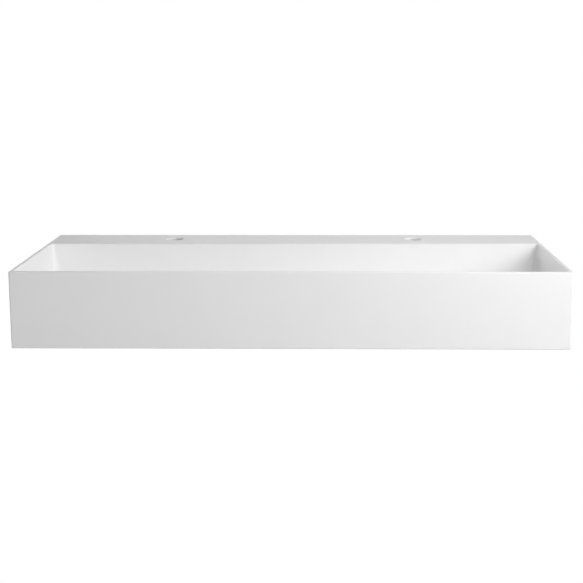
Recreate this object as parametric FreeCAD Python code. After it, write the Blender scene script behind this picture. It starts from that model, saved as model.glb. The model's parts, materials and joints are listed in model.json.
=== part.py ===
"""Cast-stone washbasin with two tap holes, its push-to-open waste and its wall-bolt bushes.

Millimetres, +Z up. The front faces -Y and the wall plane is Y = 0. The origin lies on the wall plane at
mid width, level with the two wall-bolt holes.
"""

import FreeCAD, Part
import math
import os

Vector = FreeCAD.Vector
UP = Vector(0, 0, 1)
ALONG_X = Vector(1, 0, 0)
ALONG_Y = Vector(0, 1, 0)
FULL_TURN = 360.0
HALF = 0.5

# Overrun of cutting tools past the faces that they cut, and fits shared by several pieces
OVERRUN = 5.0
THREAD_GAP = 0.05
RUNNING_GAP = 0.08
LOOSE_GAP = 0.3

# Casting, outside
WIDTH = 1000.0
DEPTH = 460.0
HEIGHT = 140.0
CORNER_RADIUS = 3.0
EDGE_RADIUS = 2.5

# Casting, bowl
RIM = 8.0
DECK = 122.0
BOWL_DEPTH = 92.0
BOWL_DRAFT_DEG = 6.0
RIM_CORNER = 5.0
FLOOR_CORNER = 18.0
BOWL_BEND = 12.0
LIP_RADIUS = 2.5
FLOOR_FALL = 8.0
FLOOR_THICKNESS = 16.0
DRAIN_FLAT = 92.0
FALL_CORNER = 5.0

# Casting, underside
SKIRT = 18.0
REAR_WALL = 18.0
BOWL_WALL = 14.0
DECK_THICKNESS = 18.0
HOLLOW_RADIUS = 8.0

# Tap holes
TAP_HOLE = 35.0
TAP_SPACING = 495.0
TAP_SETBACK = 60.0
TAP_HOLE_EDGE = 1.0

# Wall-bolt holes and their bushes
BOLT_SPACING = 700.0
BOLT_DROP = 70.0
BOLT_HOLE = 14.0
BUSH_BORE = 10.5
BUSH_FLANGE = 24.0
BUSH_FLANGE_THICKNESS = 3.0

# Waste hole and the recess for the waste flange
WASTE_HOLE = 46.0
RECESS = 68.0
RECESS_EDGE = 1.5
FLANGE_SINK = 0.5

# Waste body, with its three-armed bridge
THREAD = 41.91
WASTE_BORE = 35.0
WASTE_LENGTH = 64.0
THREAD_CHAMFER = 1.0
RELIEF_DEPTH = 1.0
RELIEF_WIDTH = 2.0
FLANGE = 64.0
FLANGE_THICKNESS = 3.0
FLANGE_EDGE = 1.8
SEAT_DEPTH = 6.5
SEAT_WIDTH = 6.5
BRIDGE_ARMS = 3
BRIDGE_ARM = 4.0
BRIDGE_DROP = 22.0
BRIDGE_HEIGHT = 9.0
BRIDGE_BOSS = 20.0

# Seals and back nut
FLANGE_GASKET_THICKNESS = 1.5
GASKET_OUTER = 62.0
FLOOR_GASKET_OUTER = 60.0
FLOOR_GASKET_THICKNESS = 6.0
FLOOR_GASKET_TAPER = 3.0
FLOOR_GASKET_NOSE = 4.0
SLIP_WASHER_OUTER = 58.0
SLIP_WASHER_THICKNESS = 1.5
NUT_ACROSS_FLATS = 52.0
NUT_HEIGHT = 12.0
NUT_FLANGE_THICKNESS = 3.0
NUT_CHAMFER = 2.0

# Cartridge: barrel, plunger, spring, latch pin and clip
BARREL = 15.0
BARREL_STEM = 12.0
BARREL_BORE = 9.2
BARREL_TOP_DROP = 8.0
BARREL_FLOOR = 2.0
BARREL_EDGE = 0.8
BARREL_DRAIN = 2.0
PLUNGER_NECK = 6.0
PLUNGER_THREAD = 8.0
PLUNGER_THREAD_LENGTH = 9.0
PLUNGER_COLLAR_LENGTH = 14.0
PLUNGER_STEM = 5.4
PLUNGER_STEM_LENGTH = 8.0
TRAVEL = 9.0
LATCH_PIN = 1.5
LATCH_SLOT_DEPTH = 1.4
SPRING_LENGTH = 22.0
SPRING_TURNS = 5
SPRING_WIRE = 0.8
CLIP_THICKNESS = 1.0
CLIP_GROOVE = 0.7
CLIP_COVER = 1.0

# Plug: stone cap, brass plate and rubber seal
CAP = 66.0
CAP_THICKNESS = 9.0
CAP_DOME = 1.5
CAP_EDGE = 2.5
CAP_GAP = 1.0
PLATE = 50.0
PLATE_THICKNESS = 2.5
PLATE_NECK = 32.0
PLATE_LIP = 35.4
PLATE_LIP_THICKNESS = 1.2
PLATE_BOSS = 14.0
PLATE_BOSS_GAP = 2.0
SEAL_HEIGHT = 3.0
SEAL_EDGE = 0.6

# Levels and places that follow from the sizes above
RIM_Z = BOLT_DROP
BASE_Z = RIM_Z - HEIGHT
BOWL_TAPER = math.tan(math.radians(BOWL_DRAFT_DEG))
FLOOR_EDGE_Z = RIM_Z - BOWL_DEPTH
FLOOR_Z = FLOOR_EDGE_Z - FLOOR_FALL
DECK_UNDER_Z = RIM_Z - DECK_THICKNESS
HOLLOW_Z = FLOOR_EDGE_Z - FLOOR_THICKNESS
DRAIN_UNDER_Z = FLOOR_Z - FLOOR_THICKNESS
RECESS_DEPTH = FLANGE_GASKET_THICKNESS + FLANGE_THICKNESS + FLANGE_SINK
RECESS_Z = FLOOR_Z - RECESS_DEPTH
FLANGE_Z = RECESS_Z + FLANGE_GASKET_THICKNESS
DRAIN_Y = -HALF * (DECK + DEPTH - RIM)
HOLLOW_HALF_WIDTH = HALF * WIDTH - SKIRT
NUT_TOP_Z = DRAIN_UNDER_Z - FLOOR_GASKET_THICKNESS - SLIP_WASHER_THICKNESS
NUT_Z = NUT_TOP_Z - NUT_HEIGHT

BRIDGE_Z = FLANGE_Z - BRIDGE_DROP
BARREL_TOP_Z = FLANGE_Z - BARREL_TOP_DROP
CLIP_Z = BARREL_TOP_Z - CLIP_GROOVE - CLIP_THICKNESS
COLLAR_TOP_Z = CLIP_Z - LOOSE_GAP - TRAVEL
COLLAR_Z = COLLAR_TOP_Z - PLUNGER_COLLAR_LENGTH
BARREL_FLOOR_Z = COLLAR_Z - SPRING_LENGTH
CAP_Z = FLANGE_Z + FLANGE_THICKNESS + CAP_GAP
PLATE_BOSS_Z = BARREL_TOP_Z + PLATE_BOSS_GAP
PLUNGER_TOP_Z = PLATE_BOSS_Z + PLUNGER_THREAD_LENGTH


def rounded_wire(corners):
    """Closed wire through (point, rounding) corners, with a tangent arc at each rounded corner."""
    starts, ends, middles = [], [], []
    for index, (corner, rounding) in enumerate(corners):
        back = (corners[index - 1][0] - corner).normalize()
        ahead = (corners[(index + 1) % len(corners)][0] - corner).normalize()
        half_angle = HALF * back.getAngle(ahead)
        reach = rounding / math.tan(half_angle)
        inward = (back + ahead).normalize()
        starts.append(corner + back * reach)
        ends.append(corner + ahead * reach)
        middles.append(corner + inward * (rounding / math.sin(half_angle) - rounding))
    edges = []
    for index, (corner, rounding) in enumerate(corners):
        if rounding > 0:
            edges.append(Part.Arc(starts[index], middles[index], ends[index]).toShape())
        following = starts[(index + 1) % len(corners)]
        edges.append(Part.LineSegment(ends[index], following).toShape())
    return Part.Wire(edges)


def level_outline(half_x, low_y, high_y, corner, z):
    """Level rectangle centred on X with round corners, as a closed wire."""
    places = [(-half_x, low_y), (half_x, low_y), (half_x, high_y), (-half_x, high_y)]
    return rounded_wire([(Vector(x, y, z), corner) for x, y in places])


def tapered(low, high):
    """Solid with straight sides between two level outlines."""
    return Part.makeLoft([low, high], True, True)


def turned(outline):
    """Solid of revolution about the waste's axis, from (diameter, height, rounding) corners."""
    corners = [(Vector(HALF * diameter, 0, z), rounding) for diameter, z, rounding in outline]
    solid = Part.Face(rounded_wire(corners)).revolve(Vector(0, 0, 0), UP, FULL_TURN)
    return on_waste_axis(solid)


def on_waste_axis(shape):
    shape.translate(Vector(0, DRAIN_Y, 0))
    return shape


def upright_cylinder(diameter, low, high, x, y):
    return Part.makeCylinder(HALF * diameter, high - low, Vector(x, y, low), UP)


def mirrored_places(spacing):
    return [-HALF * spacing, HALF * spacing]


def level_edges(shape, z, keep):
    """Edges of a shape that lie level at a height and whose middle point passes a test."""
    found = []
    for edge in shape.Edges:
        box = edge.BoundBox
        if max(abs(box.ZMin - z), abs(box.ZMax - z)) < THREAD_GAP and keep(box.Center):
            found.append(edge)
    return found


def outer_block():
    """The casting's envelope, with its upright edges and then its level edges rounded."""
    block = Part.makeBox(WIDTH, DEPTH, HEIGHT, Vector(-HALF * WIDTH, -DEPTH, BASE_Z))
    uprights = [edge for edge in block.Edges if edge.BoundBox.ZLength > HALF * HEIGHT]
    block = block.makeFillet(CORNER_RADIUS, uprights)
    levels = [edge for edge in block.Edges if edge.BoundBox.ZLength < THREAD_GAP]
    return block.makeFillet(EDGE_RADIUS, levels)


def bowl_section(inset, corner, z):
    """Level outline in the bowl, set in from the ends and the front, and from the deck's edge to match."""
    return level_outline(HALF * WIDTH - inset, -DEPTH + inset, -DECK - inset + RIM, corner, z)


def wall_section(z):
    """Outline of the bowl's walls at a height: it narrows downwards with the draft, and its corners widen."""
    drop = RIM_Z - z
    corner = RIM_CORNER + (FLOOR_CORNER - RIM_CORNER) * drop / BOWL_DEPTH
    return bowl_section(RIM + drop * BOWL_TAPER, corner, z)


def floor_section(z):
    """Flat of the bowl's floor, inside the round bend up to the walls, brought to a height."""
    return bowl_section(RIM + BOWL_DEPTH * BOWL_TAPER + BOWL_BEND, FALL_CORNER, z)


def drain_section(z):
    """Flat round the waste, which the floor falls to from all four sides, brought to a height."""
    half = HALF * DRAIN_FLAT
    return level_outline(half, DRAIN_Y - half, DRAIN_Y + half, FALL_CORNER, z)


def bowl_space():
    """Space inside the bowl: drafted walls, corners that widen downwards, a floor that falls to the waste."""
    space = tapered(wall_section(FLOOR_EDGE_Z), wall_section(RIM_Z + OVERRUN))
    bends = [edge for edge in space.Edges if edge.BoundBox.ZMax < RIM_Z]
    fall = tapered(drain_section(FLOOR_Z), floor_section(FLOOR_EDGE_Z))
    return space.makeFillet(BOWL_BEND, bends).fuse(fall)


def hollow_space():
    """Space under the bowl, as deep as the floor's thickness allows, open to the channel behind it."""
    low_y, high_y = -DEPTH + SKIRT, -HALF * DECK
    low, high = BASE_Z - OVERRUN, HOLLOW_Z
    size = Vector(HOLLOW_HALF_WIDTH + HOLLOW_HALF_WIDTH, high_y - low_y, high - low)
    space = Part.makeBox(size.x, size.y, size.z, Vector(-HOLLOW_HALF_WIDTH, low_y, low))
    bends = [edge for edge in space.Edges if edge.BoundBox.YMin < high_y and edge.BoundBox.ZMax > low]
    pad = tapered(drain_section(DRAIN_UNDER_Z), floor_section(HOLLOW_Z))
    return space.makeFillet(HOLLOW_RADIUS, bends).cut(pad)


def channel_face_y(z):
    """Front side of the channel behind the bowl: the bowl's rear wall plus its thickness."""
    return -DECK - (RIM_Z - z) * BOWL_TAPER + BOWL_WALL


def channel_space():
    """Space behind the bowl and under the deck, for tap tails, hoses and the wall-bolt nuts."""
    low = BASE_Z - OVERRUN
    start = -HOLLOW_HALF_WIDTH
    corners = [
        (Vector(start, -REAR_WALL, low), 0),
        (Vector(start, -REAR_WALL, DECK_UNDER_Z), HOLLOW_RADIUS),
        (Vector(start, channel_face_y(DECK_UNDER_Z), DECK_UNDER_Z), HOLLOW_RADIUS),
        (Vector(start, channel_face_y(low), low), 0),
    ]
    return Part.Face(rounded_wire(corners)).extrude(ALONG_X * (HOLLOW_HALF_WIDTH + HOLLOW_HALF_WIDTH))


def basin_casting():
    """The basin: one casting with a bowl, a tap deck and an open, hollow underside."""
    stone = outer_block().cut(bowl_space())
    lip = level_edges(stone, RIM_Z, in_lip)
    stone = stone.makeFillet(LIP_RADIUS, lip)
    stone = stone.cut(hollow_space()).cut(channel_space())
    low, high = DECK_UNDER_Z - OVERRUN, RIM_Z + OVERRUN
    for x in mirrored_places(TAP_SPACING):
        stone = stone.cut(upright_cylinder(TAP_HOLE, low, high, x, -TAP_SETBACK))
    for x in mirrored_places(BOLT_SPACING):
        start = Vector(x, -REAR_WALL - OVERRUN, 0)
        stone = stone.cut(Part.makeCylinder(HALF * BOLT_HOLE, REAR_WALL + OVERRUN + OVERRUN, start, ALONG_Y))
    stone = stone.cut(upright_cylinder(RECESS, RECESS_Z, FLOOR_Z + OVERRUN, 0, DRAIN_Y))
    stone = stone.cut(upright_cylinder(WASTE_HOLE, DRAIN_UNDER_Z - OVERRUN, FLOOR_Z, 0, DRAIN_Y))
    tap_mouths = level_edges(stone, RIM_Z, in_tap_hole)
    stone = stone.makeFillet(TAP_HOLE_EDGE, tap_mouths)
    recess_mouth = level_edges(stone, FLOOR_Z, in_recess)
    return stone.makeFillet(RECESS_EDGE, recess_mouth)


def in_lip(point):
    """True on the bowl's top edge, which lies inside the casting's own rounded edge."""
    half_inside = HALF * WIDTH - HALF * RIM
    return abs(point.x) < half_inside and -DEPTH + HALF * RIM < point.y < -HALF * DECK


def in_tap_hole(point):
    return any(
        math.hypot(point.x - x, point.y + TAP_SETBACK) < HALF * TAP_HOLE for x in mirrored_places(TAP_SPACING)
    )


def in_recess(point):
    return math.hypot(point.x, point.y - DRAIN_Y) < HALF * RECESS


def wall_bolt_bushes():
    """A flanged nylon bush in each wall-bolt hole, put in from the channel side."""
    outer = HALF * BOLT_HOLE - THREAD_GAP
    bushes = []
    for x in mirrored_places(BOLT_SPACING):
        sleeve = Part.makeCylinder(outer, REAR_WALL, Vector(x, -REAR_WALL, 0), ALONG_Y)
        head_start = Vector(x, -REAR_WALL - BUSH_FLANGE_THICKNESS, 0)
        head = Part.makeCylinder(HALF * BUSH_FLANGE, BUSH_FLANGE_THICKNESS, head_start, ALONG_Y)
        bore_start = Vector(x, -REAR_WALL - BUSH_FLANGE_THICKNESS - OVERRUN, 0)
        bore_length = REAR_WALL + BUSH_FLANGE_THICKNESS + OVERRUN + OVERRUN
        bore = Part.makeCylinder(HALF * BUSH_BORE, bore_length, bore_start, ALONG_Y)
        bushes.append(sleeve.fuse(head).cut(bore).removeSplitter())
    return Part.Compound(bushes)


def waste_body():
    """Flanged brass body with a conical seat, an outside thread and a bridge that carries the cartridge."""
    bottom = FLANGE_Z - WASTE_LENGTH
    top = FLANGE_Z + FLANGE_THICKNESS
    seat = WASTE_BORE + SEAT_WIDTH + SEAT_WIDTH
    body = turned(
        [
            (WASTE_BORE, bottom, 0),
            (THREAD - THREAD_CHAMFER - THREAD_CHAMFER, bottom, 0),
            (THREAD, bottom + THREAD_CHAMFER, 0),
            (THREAD, NUT_Z - RELIEF_WIDTH, 0),
            (THREAD - RELIEF_DEPTH - RELIEF_DEPTH, NUT_Z - RELIEF_WIDTH, 0),
            (THREAD - RELIEF_DEPTH - RELIEF_DEPTH, NUT_Z, 0),
            (THREAD, NUT_Z, 0),
            (THREAD, FLANGE_Z, 0),
            (FLANGE, FLANGE_Z, 0),
            (FLANGE, top, FLANGE_EDGE),
            (seat, top, 0),
            (WASTE_BORE, top - SEAT_DEPTH, 0),
        ]
    )
    for arm in range(BRIDGE_ARMS):
        body = body.fuse(bridge_arm(arm * FULL_TURN / BRIDGE_ARMS))
    boss = upright_cylinder(BRIDGE_BOSS, BRIDGE_Z - BRIDGE_HEIGHT, BRIDGE_Z, 0, DRAIN_Y)
    low, high = BRIDGE_Z - BRIDGE_HEIGHT - OVERRUN, BRIDGE_Z + OVERRUN
    hole = upright_cylinder(BARREL_STEM + THREAD_GAP + THREAD_GAP, low, high, 0, DRAIN_Y)
    return body.fuse(boss).cut(hole).removeSplitter()


def bridge_arm(angle):
    """One arm of the bridge, from the middle into the body's wall."""
    reach = HALF * HALF * (WASTE_BORE + THREAD)
    start = Vector(0, -HALF * BRIDGE_ARM, BRIDGE_Z - BRIDGE_HEIGHT)
    arm = Part.makeBox(reach, BRIDGE_ARM, BRIDGE_HEIGHT, start)
    arm.rotate(Vector(0, 0, 0), UP, angle)
    return on_waste_axis(arm)


def flange_gasket():
    """Flat gasket between the recess and the waste flange."""
    return turned(
        [
            (WASTE_HOLE, RECESS_Z, 0),
            (GASKET_OUTER, RECESS_Z, 0),
            (GASKET_OUTER, FLANGE_Z, 0),
            (WASTE_HOLE, FLANGE_Z, 0),
        ]
    )


def floor_gasket():
    """Tapered rubber gasket under the floor, whose nose centres the waste in its hole."""
    inside = THREAD + THREAD_GAP + THREAD_GAP
    low = DRAIN_UNDER_Z - FLOOR_GASKET_THICKNESS
    nose = WASTE_HOLE - LOOSE_GAP - LOOSE_GAP
    nose_tip = HALF * (nose + inside)
    return turned(
        [
            (inside, low, 0),
            (FLOOR_GASKET_OUTER - FLOOR_GASKET_TAPER - FLOOR_GASKET_TAPER, low, 0),
            (FLOOR_GASKET_OUTER, DRAIN_UNDER_Z, 0),
            (nose, DRAIN_UNDER_Z, 0),
            (nose_tip, DRAIN_UNDER_Z + FLOOR_GASKET_NOSE, 0),
            (inside, DRAIN_UNDER_Z + FLOOR_GASKET_NOSE, 0),
        ]
    )


def slip_washer():
    """Slippery washer that lets the back nut turn without dragging the gasket."""
    top = DRAIN_UNDER_Z - FLOOR_GASKET_THICKNESS
    inside = THREAD + THREAD_GAP + THREAD_GAP
    return turned(
        [
            (inside, top - SLIP_WASHER_THICKNESS, 0),
            (SLIP_WASHER_OUTER, top - SLIP_WASHER_THICKNESS, 0),
            (SLIP_WASHER_OUTER, top, 0),
            (inside, top, 0),
        ]
    )


def back_nut():
    """Hexagon nut with a round flange, its corners turned off at a slant."""
    top, bottom = NUT_TOP_Z, NUT_Z
    sides = 6
    across_corners = NUT_ACROSS_FLATS / math.cos(math.pi / sides)
    corners = []
    for index in range(sides):
        angle = index * math.pi / HALF / sides
        radius = HALF * across_corners
        corners.append((Vector(radius * math.cos(angle), radius * math.sin(angle), bottom), 0))
    prism = on_waste_axis(Part.Face(rounded_wire(corners)).extrude(UP * NUT_HEIGHT))
    inside = THREAD + THREAD_GAP + THREAD_GAP
    envelope = turned(
        [
            (inside, bottom, 0),
            (NUT_ACROSS_FLATS - NUT_CHAMFER, bottom, 0),
            (across_corners, bottom + NUT_CHAMFER, 0),
            (across_corners, top, 0),
            (inside, top, 0),
        ]
    )
    collar = turned(
        [
            (inside, top - NUT_FLANGE_THICKNESS, 0),
            (SLIP_WASHER_OUTER, top - NUT_FLANGE_THICKNESS, 0),
            (SLIP_WASHER_OUTER, top, 0),
            (inside, top, 0),
        ]
    )
    return prism.common(envelope).fuse(collar).removeSplitter()


def cartridge_barrel():
    """Sleeve that screws into the bridge and guides the plunger, with a groove for its clip."""
    groove = BARREL_BORE + CLIP_GROOVE + CLIP_GROOVE
    bottom = BARREL_FLOOR_Z - BARREL_FLOOR
    barrel = turned(
        [
            (BARREL_DRAIN, bottom, 0),
            (BARREL_STEM, bottom, BARREL_EDGE),
            (BARREL_STEM, BRIDGE_Z, 0),
            (BARREL, BRIDGE_Z, 0),
            (BARREL, BARREL_TOP_Z, BARREL_EDGE),
            (BARREL_BORE, BARREL_TOP_Z, 0),
            (BARREL_BORE, CLIP_Z + CLIP_THICKNESS, 0),
            (groove, CLIP_Z + CLIP_THICKNESS, 0),
            (groove, CLIP_Z, 0),
            (BARREL_BORE, CLIP_Z, 0),
            (BARREL_BORE, BARREL_FLOOR_Z, 0),
            (BARREL_DRAIN, BARREL_FLOOR_Z, 0),
        ]
    )
    return barrel.cut(latch_rod(LATCH_PIN + THREAD_GAP, HALF * BARREL + OVERRUN))


def latch_pin_z():
    """The pin stands in the top end of the plunger's slot while the plug is shut."""
    return COLLAR_TOP_Z - LATCH_PIN


def latch_rod(diameter, far_end):
    """Rod along +X at the latch pin's place, from the bottom of the plunger's slot outwards."""
    near_end = HALF * BARREL_BORE - LATCH_SLOT_DEPTH + LOOSE_GAP
    start = Vector(near_end, DRAIN_Y, latch_pin_z())
    return Part.makeCylinder(HALF * diameter, far_end - near_end, start, ALONG_X)


def latch_pin():
    """Pin through the barrel's wall, which rides in the plunger's slot."""
    return latch_rod(LATCH_PIN, HALF * BARREL - THREAD_GAP)


def cartridge_clip():
    """Split ring in the barrel's groove, which keeps the plunger in."""
    inner = PLUNGER_NECK + CLIP_COVER
    outer = BARREL_BORE + CLIP_GROOVE + CLIP_GROOVE - THREAD_GAP
    ring = turned(
        [
            (inner, CLIP_Z, 0),
            (outer, CLIP_Z, 0),
            (outer, CLIP_Z + CLIP_THICKNESS, 0),
            (inner, CLIP_Z + CLIP_THICKNESS, 0),
        ]
    )
    mouth = Part.makeBox(BARREL, CLIP_COVER, CLIP_THICKNESS + OVERRUN + OVERRUN)
    mouth.translate(Vector(-BARREL, DRAIN_Y - HALF * CLIP_COVER, CLIP_Z - OVERRUN))
    return ring.cut(mouth)


def cartridge_spring():
    """Compression spring between the barrel's floor and the plunger's collar, shut."""
    clear = HALF * SPRING_WIRE + THREAD_GAP
    radius = HALF * HALF * (BARREL_BORE + PLUNGER_STEM)
    low, high = BARREL_FLOOR_Z + clear, COLLAR_Z - clear
    helix = Part.makeHelix((high - low) / SPRING_TURNS, high - low, radius)
    wire = Part.Wire(Part.Circle(Vector(radius, 0, 0), ALONG_Y, HALF * SPRING_WIRE).toShape())
    spring = Part.Wire(helix.Edges).makePipeShell([wire], True, True)
    spring.translate(Vector(0, DRAIN_Y, low))
    return Part.Solid(spring) if spring.ShapeType == "Shell" else spring


def cartridge_plunger():
    """Plunger: threaded top, neck, slotted collar that slides in the barrel, and a stem inside the spring."""
    collar = BARREL_BORE - RUNNING_GAP - RUNNING_GAP
    plunger = turned(
        [
            (0, COLLAR_Z - PLUNGER_STEM_LENGTH, 0),
            (PLUNGER_STEM, COLLAR_Z - PLUNGER_STEM_LENGTH, BARREL_EDGE),
            (PLUNGER_STEM, COLLAR_Z, 0),
            (collar, COLLAR_Z, 0),
            (collar, COLLAR_TOP_Z, 0),
            (PLUNGER_NECK, COLLAR_TOP_Z, 0),
            (PLUNGER_NECK, PLATE_BOSS_Z, 0),
            (PLUNGER_THREAD, PLATE_BOSS_Z, 0),
            (PLUNGER_THREAD, PLUNGER_TOP_Z, BARREL_EDGE),
            (0, PLUNGER_TOP_Z, 0),
        ]
    )
    width = LATCH_PIN + LOOSE_GAP + LOOSE_GAP
    low = latch_pin_z() - TRAVEL - width
    slot = Part.makeBox(BARREL, width, TRAVEL + width + HALF * width)
    slot.translate(Vector(HALF * BARREL_BORE - LATCH_SLOT_DEPTH, DRAIN_Y - HALF * width, low))
    return plunger.cut(slot)


def plug_cap():
    """Stone disc that covers the waste, slightly domed, hollowed underneath for its plate."""
    top = CAP_Z + CAP_THICKNESS
    radius = HALF * CAP
    rise = (radius * radius + CAP_DOME * CAP_DOME) / (CAP_DOME + CAP_DOME)
    blank = turned([(0, CAP_Z, 0), (CAP, CAP_Z, 0), (CAP, top, CAP_EDGE), (0, top, 0)])
    dome = on_waste_axis(Part.makeSphere(rise, Vector(0, 0, top - rise)))
    pocket = PLATE + LOOSE_GAP + LOOSE_GAP
    recess = upright_cylinder(pocket, CAP_Z - OVERRUN, CAP_Z + PLATE_THICKNESS, 0, DRAIN_Y)
    return blank.common(dome).cut(recess)


def plug_plate():
    """Brass plate bonded under the cap, with a neck for the seal and a threaded boss for the plunger."""
    seal_low = CAP_Z - CAP_GAP - SEAL_HEIGHT
    lip_low = seal_low - PLATE_LIP_THICKNESS
    hole = PLUNGER_THREAD + THREAD_GAP + THREAD_GAP
    return turned(
        [
            (hole, PLATE_BOSS_Z, 0),
            (PLATE_BOSS, PLATE_BOSS_Z, 0),
            (PLATE_BOSS, lip_low, 0),
            (PLATE_LIP, lip_low, 0),
            (PLATE_LIP, seal_low, 0),
            (PLATE_NECK, seal_low, 0),
            (PLATE_NECK, CAP_Z, 0),
            (PLATE, CAP_Z, 0),
            (PLATE, CAP_Z + PLATE_THICKNESS, 0),
            (0, CAP_Z + PLATE_THICKNESS, 0),
            (0, PLUNGER_TOP_Z, 0),
            (hole, PLUNGER_TOP_Z, 0),
        ]
    )


def seat_diameter(z):
    """Diameter of the waste body's conical seat at a height."""
    rise = z - (FLANGE_Z + FLANGE_THICKNESS - SEAT_DEPTH)
    return WASTE_BORE + (SEAT_WIDTH + SEAT_WIDTH) * rise / SEAT_DEPTH


def plug_seal():
    """Rubber ring on the plate's neck, with a slanted face that meets the seat."""
    low = CAP_Z - CAP_GAP - SEAL_HEIGHT
    inside = PLATE_NECK + THREAD_GAP + THREAD_GAP
    gap = LOOSE_GAP + LOOSE_GAP
    shoulder = CAP_Z - CAP_GAP
    return turned(
        [
            (inside, low, 0),
            (seat_diameter(low) - gap - gap, low, 0),
            (seat_diameter(shoulder) - gap - gap, shoulder, SEAL_EDGE),
            (inside, CAP_Z, 0),
        ]
    )


NODES = {
    "basin_casting": basin_casting,
    "wall_bolt_bushes": wall_bolt_bushes,
    "waste_body": waste_body,
    "flange_gasket": flange_gasket,
    "floor_gasket": floor_gasket,
    "slip_washer": slip_washer,
    "back_nut": back_nut,
    "cartridge_barrel": cartridge_barrel,
    "latch_pin": latch_pin,
    "cartridge_clip": cartridge_clip,
    "cartridge_spring": cartridge_spring,
    "cartridge_plunger": cartridge_plunger,
    "plug_cap": plug_cap,
    "plug_plate": plug_plate,
    "plug_seal": plug_seal,
}


def main():
    os.makedirs("parts", exist_ok=True)
    for name, make in NODES.items():
        shape = make()
        shape.exportStep(f"parts/{name}.step")
        print(f"{name}: {len(shape.Solids)} solid, {shape.Volume:.1f} mm3, valid {shape.isValid()}")


main()
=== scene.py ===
"""Cast-stone washbasin: the pieces that show, their finishes, the lights and the camera.

Metres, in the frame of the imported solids: +Z up, the front faces -Y and the wall plane is Y = 0.
"""

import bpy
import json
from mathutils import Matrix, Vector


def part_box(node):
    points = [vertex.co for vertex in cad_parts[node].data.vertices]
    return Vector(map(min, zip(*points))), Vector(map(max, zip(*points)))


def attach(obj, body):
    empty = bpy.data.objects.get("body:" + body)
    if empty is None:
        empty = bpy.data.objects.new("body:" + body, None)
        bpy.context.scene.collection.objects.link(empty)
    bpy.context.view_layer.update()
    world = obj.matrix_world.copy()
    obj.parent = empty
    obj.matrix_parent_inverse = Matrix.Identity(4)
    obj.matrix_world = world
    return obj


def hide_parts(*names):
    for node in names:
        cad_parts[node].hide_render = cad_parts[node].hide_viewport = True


bl_info = {
    "name": "Cast-stone washbasin",
    "version": (1, 0, 0),
    "blender": (4, 5, 0),
    "location": "3D View > Sidebar > Washbasin",
    "description": "Models a wide cast-stone washbasin with its push-to-open waste and wall-bolt bushes",
    "category": "Object",
}

import json
import math

import bmesh
import bpy
from bpy.props import FloatProperty, FloatVectorProperty, IntProperty, PointerProperty
from mathutils import Matrix, Vector

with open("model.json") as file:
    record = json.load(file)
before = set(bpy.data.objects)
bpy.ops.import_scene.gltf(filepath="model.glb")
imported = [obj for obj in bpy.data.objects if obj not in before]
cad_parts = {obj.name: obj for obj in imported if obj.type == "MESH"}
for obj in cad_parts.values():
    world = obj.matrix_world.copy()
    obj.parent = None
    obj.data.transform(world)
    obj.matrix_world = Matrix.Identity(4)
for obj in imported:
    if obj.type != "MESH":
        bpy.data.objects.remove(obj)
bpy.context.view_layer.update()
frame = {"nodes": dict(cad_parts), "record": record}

MM = 0.001
HALF = 0.5
CLOSE = 1e-5
UP = Vector((0, 0, 1))
QUARTER_TURN, FULL_TURN = math.pi / 2, 2 * math.pi
SMOOTH_BELOW = math.radians(35)

# Tools go this far past the face that they cut.
OVERRUN = 5 * MM

# Thread: turns cut off again at each end, and millimetres of stock under it, measured across.
SPARE_TURNS, SLEEVE_STOCK = 2, 0.3

# Faces across rounded edges, bends and corners, and round holes and rods.
EDGE_STEPS, CORNER_STEPS, BEND_STEPS, OUTLINE_STEPS, HOLE_STEPS = 6, 12, 8, 5, 96
FINE_STEPS, TAP_MOUTH_STEPS, RECESS_STEPS, RECESS_SIDES, BOSS_SIDES, PIN_SIDES = 3, 4, 5, 128, 64, 24

# How much of a face's normal points one way when the face is level, and when it is square on.
LEVEL, SQUARE_ON = 0.9, 0.999

# Soft lights: azimuth (0 at the basin's right, 90 in front of it), elevation, side and distance.
LIGHTS = {
    "key": (45, 28, 1.0, 1.7),
    "right": (0, 28, 2.0, 3.0),
    "fill": (120, 28, 2.0, 3.0),
    "rear": (270, 8, 2.0, 3.0),
    "corner": (225, 8, 2.0, 3.0),
    "low": (45, 8, 2.0, 3.0),
}
SENSOR_WIDTH = 36.0

# Bridge in the waste: drop under the flange, depth, diameters of its boss and hole, and its arms.
BRIDGE_DROP, BRIDGE_DEPTH, BOSS, STEM_HOLE = 22 * MM, 9 * MM, 20 * MM, 12.1 * MM
ARM_REACH, ARM_HALF = 19 * MM, 2 * MM

# Threads: the gaps above them and the slants at their lower ends.
WASTE_GAP, STEM_GAP, WASTE_SLANT, STEM_SLANT = 4 * MM, MM, MM, 0.8 * MM

# Rounding of the nut's upright edges, and the diameter and ends of the barrel's pin hole.
NUT_EDGE, PIN_HOLE, PIN_HOLE_ENDS = 0.5 * MM, 1.55 * MM, (3.5 * MM, 12 * MM)

STONE_LOW, STONE_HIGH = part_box("basin_casting")
WASTE_LOW, WASTE_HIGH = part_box("waste_body")
NUT_LOW, NUT_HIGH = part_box("back_nut")
BARREL_LOW, BARREL_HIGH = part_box("cartridge_barrel")
PIN_LOW, PIN_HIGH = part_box("latch_pin")
MOUNTS = {mount["name"]: mount for mount in frame["record"]["mounts"]}
TAP = MOUNTS["tap_hole_right"]
BOLT = MOUNTS["wall_bolt_right"]
DRAIN = Vector(MOUNTS["waste_outlet"]["pos_m"])


def number(name, description, default, **limits):
    return FloatProperty(name=name, description=description, default=default, **limits)


def length(name, description, millimetres):
    """A length property, with its default given in millimetres."""
    return number(name, description, millimetres * MM, min=0.0, unit="LENGTH", precision=4)


def tilt(name, description, degrees):
    """An angle property, with its default given in degrees."""
    return number(name, description, math.radians(degrees), subtype="ANGLE")


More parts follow.
